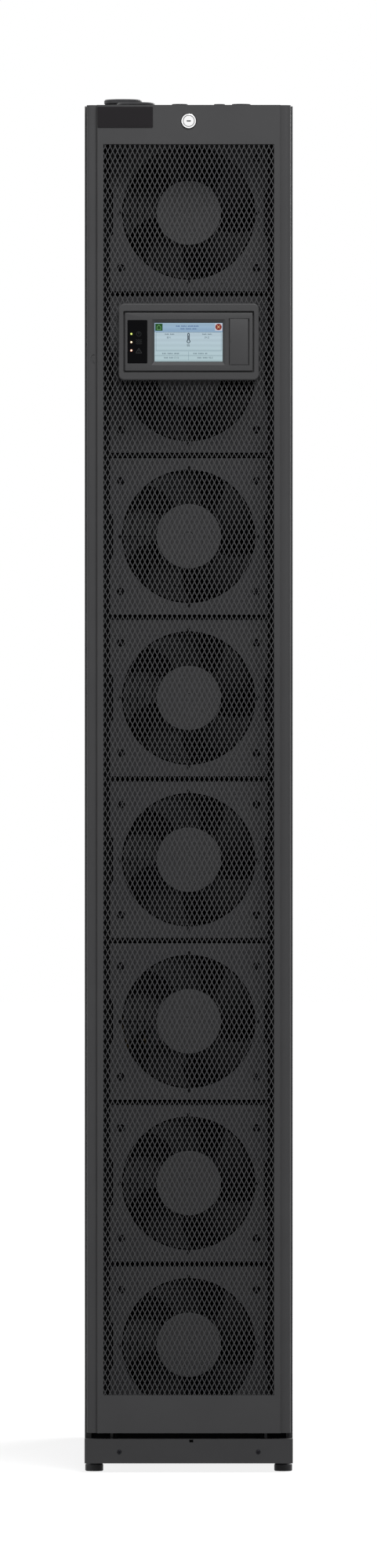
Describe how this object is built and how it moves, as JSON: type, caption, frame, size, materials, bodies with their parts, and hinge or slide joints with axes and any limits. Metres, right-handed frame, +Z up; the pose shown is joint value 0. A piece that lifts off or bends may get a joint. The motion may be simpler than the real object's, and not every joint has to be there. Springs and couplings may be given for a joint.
{
  "type": "in-row cooling unit",
  "caption": "Tall narrow in-row air cooler with a stack of axial fans behind a perforated front door, a display, casters and levelling feet.",
  "frame": {"origin": "on the floor under the middle of the cabinet", "axes": "+Z up, the front door faces -Y, +X is to the right as seen from the front"},
  "size_m": [0.3, 1.095, 1.9885],
  "materials": {
    "panel_grey": "satin powder coat",
    "rotor_black": "moulded, satin",
    "zinc_steel": "zinc plated",
    "wheel_rubber": "matte",
    "foot_black": "moulded",
    "fan_black": "moulded, matte",
    "frame_black": "black powder coat",
    "kick_grey": "satin powder coat",
    "panel_paint": "satin powder coat",
    "collar_dark": "moulded",
    "grommet_rubber": "matte",
    "coil_coating": "black epoxy coating",
    "pipe_insulation": "closed-cell foam sleeve, matte",
    "pan_steel": "galvanised",
    "pump_plastic": "moulded",
    "valve_brass": "cast and machined",
    "actuator_plastic": "moulded",
    "filter_fabric": "pleated medium in a board frame",
    "box_steel": "satin",
    "door_paint": "fine-textured powder coat",
    "grille_paint": "fine-textured powder coat",
    "lock_chrome": "polished",
    "plate_dark": "satin",
    "bezel_plastic": "moulded, fine texture",
    "face_plastic": "moulded, fine texture",
    "screen_glass": "lit colour screen",
    "window_black": "glossy black",
    "port_plastic": "moulded",
    "rear_paint": "fine-textured powder coat",
    "latch_metal": "cast, satin",
    "screw_black": "black oxide"
  },
  "bodies": {
    "cabinet": {"fan_panel_1": "panel_grey", "fan_panel_2": "panel_grey", "fan_panel_3": "panel_grey", "fan_panel_4": "panel_grey", "fan_panel_5": "panel_grey", "fan_panel_6": "panel_grey", "fan_panel_7": "panel_grey", "fan_panel_8": "panel_grey", "fan_housings": "fan_black", "base_frame": "frame_black", "kick_plate": "kick_grey", "cabinet_frame": "frame_black", "left_side_panel": "panel_paint", "right_side_panel": "panel_paint", "roof_panel": "panel_paint", "pipe_collars": "collar_dark", "cable_grommets": "grommet_rubber", "coil_core": "coil_coating", "coil_headers": "coil_coating", "drip_pan": "pan_steel", "condensate_pump": "pump_plastic", "control_valve": "valve_brass", "valve_actuator": "actuator_plastic", "water_pipes": "pipe_insulation", "air_filters": "filter_fabric", "electrical_box": "box_steel", "rear_hinge_pins": "zinc_steel", "screws": "screw_black"},
    "front_door": {"front_door": "door_paint", "front_grille": "grille_paint", "name_plate": "plate_dark", "display_housing": "bezel_plastic", "display_face": "face_plastic", "display_screen": "screen_glass", "led_window": "window_black", "port_block": "port_plastic"},
    "door_lock": {"door_lock": "lock_chrome"},
    "service_flap": {"service_flap": "face_plastic"},
    "rear_door": {"rear_door": "rear_paint"},
    "rear_latch": {"rear_latch": "latch_metal"},
    "rotor_1": {"fan_rotor_1": "rotor_black"},
    "rotor_2": {"fan_rotor_2": "rotor_black"},
    "rotor_3": {"fan_rotor_3": "rotor_black"},
    "rotor_4": {"fan_rotor_4": "rotor_black"},
    "rotor_5": {"fan_rotor_5": "rotor_black"},
    "rotor_6": {"fan_rotor_6": "rotor_black"},
    "rotor_7": {"fan_rotor_7": "rotor_black"},
    "rotor_8": {"fan_rotor_8": "rotor_black"},
    "caster_1": {"caster_fork_1": "zinc_steel"},
    "wheel_1": {"caster_wheel_1": "wheel_rubber"},
    "foot_1": {"levelling_foot_1": "foot_black"},
    "caster_2": {"caster_fork_2": "zinc_steel"},
    "wheel_2": {"caster_wheel_2": "wheel_rubber"},
    "foot_2": {"levelling_foot_2": "foot_black"},
    "caster_3": {"caster_fork_3": "zinc_steel"},
    "wheel_3": {"caster_wheel_3": "wheel_rubber"},
    "foot_3": {"levelling_foot_3": "foot_black"},
    "caster_4": {"caster_fork_4": "zinc_steel"},
    "wheel_4": {"caster_wheel_4": "wheel_rubber"},
    "foot_4": {"levelling_foot_4": "foot_black"}
  },
  "joints": [
    {"name": "front_door_tilt", "type": "hinge", "parent": "cabinet", "child": "front_door", "pos_m": [0, -0.52, 0.0518], "axis": [1, 0, 0], "range_deg": [0, 12]},
    {"name": "door_lock_turn", "type": "hinge", "parent": "front_door", "child": "door_lock", "pos_m": [0, -0.52, 1.94628], "axis": [0, -1, 0], "range_deg": [0, 90]},
    {"name": "service_flap_swing", "type": "hinge", "parent": "front_door", "child": "service_flap", "pos_m": [0.0592, -0.5453, 1.62828], "axis": [0, 0, -1], "range_deg": [0, 100]},
    {"name": "rear_door_swing", "type": "hinge", "parent": "cabinet", "child": "rear_door", "pos_m": [-0.141, 0.528, 1], "axis": [0, 0, 1], "range_deg": [0, 120]},
    {"name": "rear_latch_turn", "type": "hinge", "parent": "rear_door", "child": "rear_latch", "pos_m": [0.112, 0.53, 1], "axis": [0, 1, 0], "range_deg": [0, 90]},
    {"name": "rotor_1_spin", "type": "hinge", "parent": "cabinet", "child": "rotor_1", "pos_m": [0, -0.44, 1.81705], "axis": [0, 1, 0], "continuous": true},
    {"name": "rotor_2_spin", "type": "hinge", "parent": "cabinet", "child": "rotor_2", "pos_m": [0, -0.44, 1.58339], "axis": [0, 1, 0], "continuous": true},
    {"name": "rotor_3_spin", "type": "hinge", "parent": "cabinet", "child": "rotor_3", "pos_m": [0, -0.44, 1.34973], "axis": [0, 1, 0], "continuous": true},
    {"name": "rotor_4_spin", "type": "hinge", "parent": "cabinet", "child": "rotor_4", "pos_m": [0, -0.44, 1.11607], "axis": [0, 1, 0], "continuous": true},
    {"name": "rotor_5_spin", "type": "hinge", "parent": "cabinet", "child": "rotor_5", "pos_m": [0, -0.44, 0.88241], "axis": [0, 1, 0], "continuous": true},
    {"name": "rotor_6_spin", "type": "hinge", "parent": "cabinet", "child": "rotor_6", "pos_m": [0, -0.44, 0.64875], "axis": [0, 1, 0], "continuous": true},
    {"name": "rotor_7_spin", "type": "hinge", "parent": "cabinet", "child": "rotor_7", "pos_m": [0, -0.44, 0.41509], "axis": [0, 1, 0], "continuous": true},
    {"name": "rotor_8_spin", "type": "hinge", "parent": "cabinet", "child": "rotor_8", "pos_m": [0, -0.44, 0.18143], "axis": [0, 1, 0], "continuous": true},
    {"name": "caster_1_swivel", "type": "hinge", "parent": "cabinet", "child": "caster_1", "pos_m": [-0.088, -0.4, 0.058], "axis": [0, 0, 1], "continuous": true},
    {"name": "wheel_1_roll", "type": "hinge", "parent": "caster_1", "child": "wheel_1", "pos_m": [-0.088, -0.38, 0.0332], "axis": [1, 0, 0], "continuous": true},
    {"name": "caster_2_swivel", "type": "hinge", "parent": "cabinet", "child": "caster_2", "pos_m": [0.088, -0.4, 0.058], "axis": [0, 0, 1], "continuous": true},
    {"name": "wheel_2_roll", "type": "hinge", "parent": "caster_2", "child": "wheel_2", "pos_m": [0.088, -0.38, 0.0332], "axis": [1, 0, 0], "continuous": true},
    {"name": "caster_3_swivel", "type": "hinge", "parent": "cabinet", "child": "caster_3", "pos_m": [-0.088, 0.4, 0.058], "axis": [0, 0, 1], "continuous": true},
    {"name": "wheel_3_roll", "type": "hinge", "parent": "caster_3", "child": "wheel_3", "pos_m": [-0.088, 0.42, 0.0332], "axis": [1, 0, 0], "continuous": true},
    {"name": "caster_4_swivel", "type": "hinge", "parent": "cabinet", "child": "caster_4", "pos_m": [0.088, 0.4, 0.058], "axis": [0, 0, 1], "continuous": true},
    {"name": "wheel_4_roll", "type": "hinge", "parent": "caster_4", "child": "wheel_4", "pos_m": [0.088, 0.42, 0.0332], "axis": [1, 0, 0], "continuous": true},
    {"name": "foot_1_screw", "type": "slide", "parent": "cabinet", "child": "foot_1", "axis": [0, 0, -1], "range_m": [0, 0.012]},
    {"name": "foot_2_screw", "type": "slide", "parent": "cabinet", "child": "foot_2", "axis": [0, 0, -1], "range_m": [0, 0.012]},
    {"name": "foot_3_screw", "type": "slide", "parent": "cabinet", "child": "foot_3", "axis": [0, 0, -1], "range_m": [0, 0.012]},
    {"name": "foot_4_screw", "type": "slide", "parent": "cabinet", "child": "foot_4", "axis": [0, 0, -1], "range_m": [0, 0.012]}
  ]
}
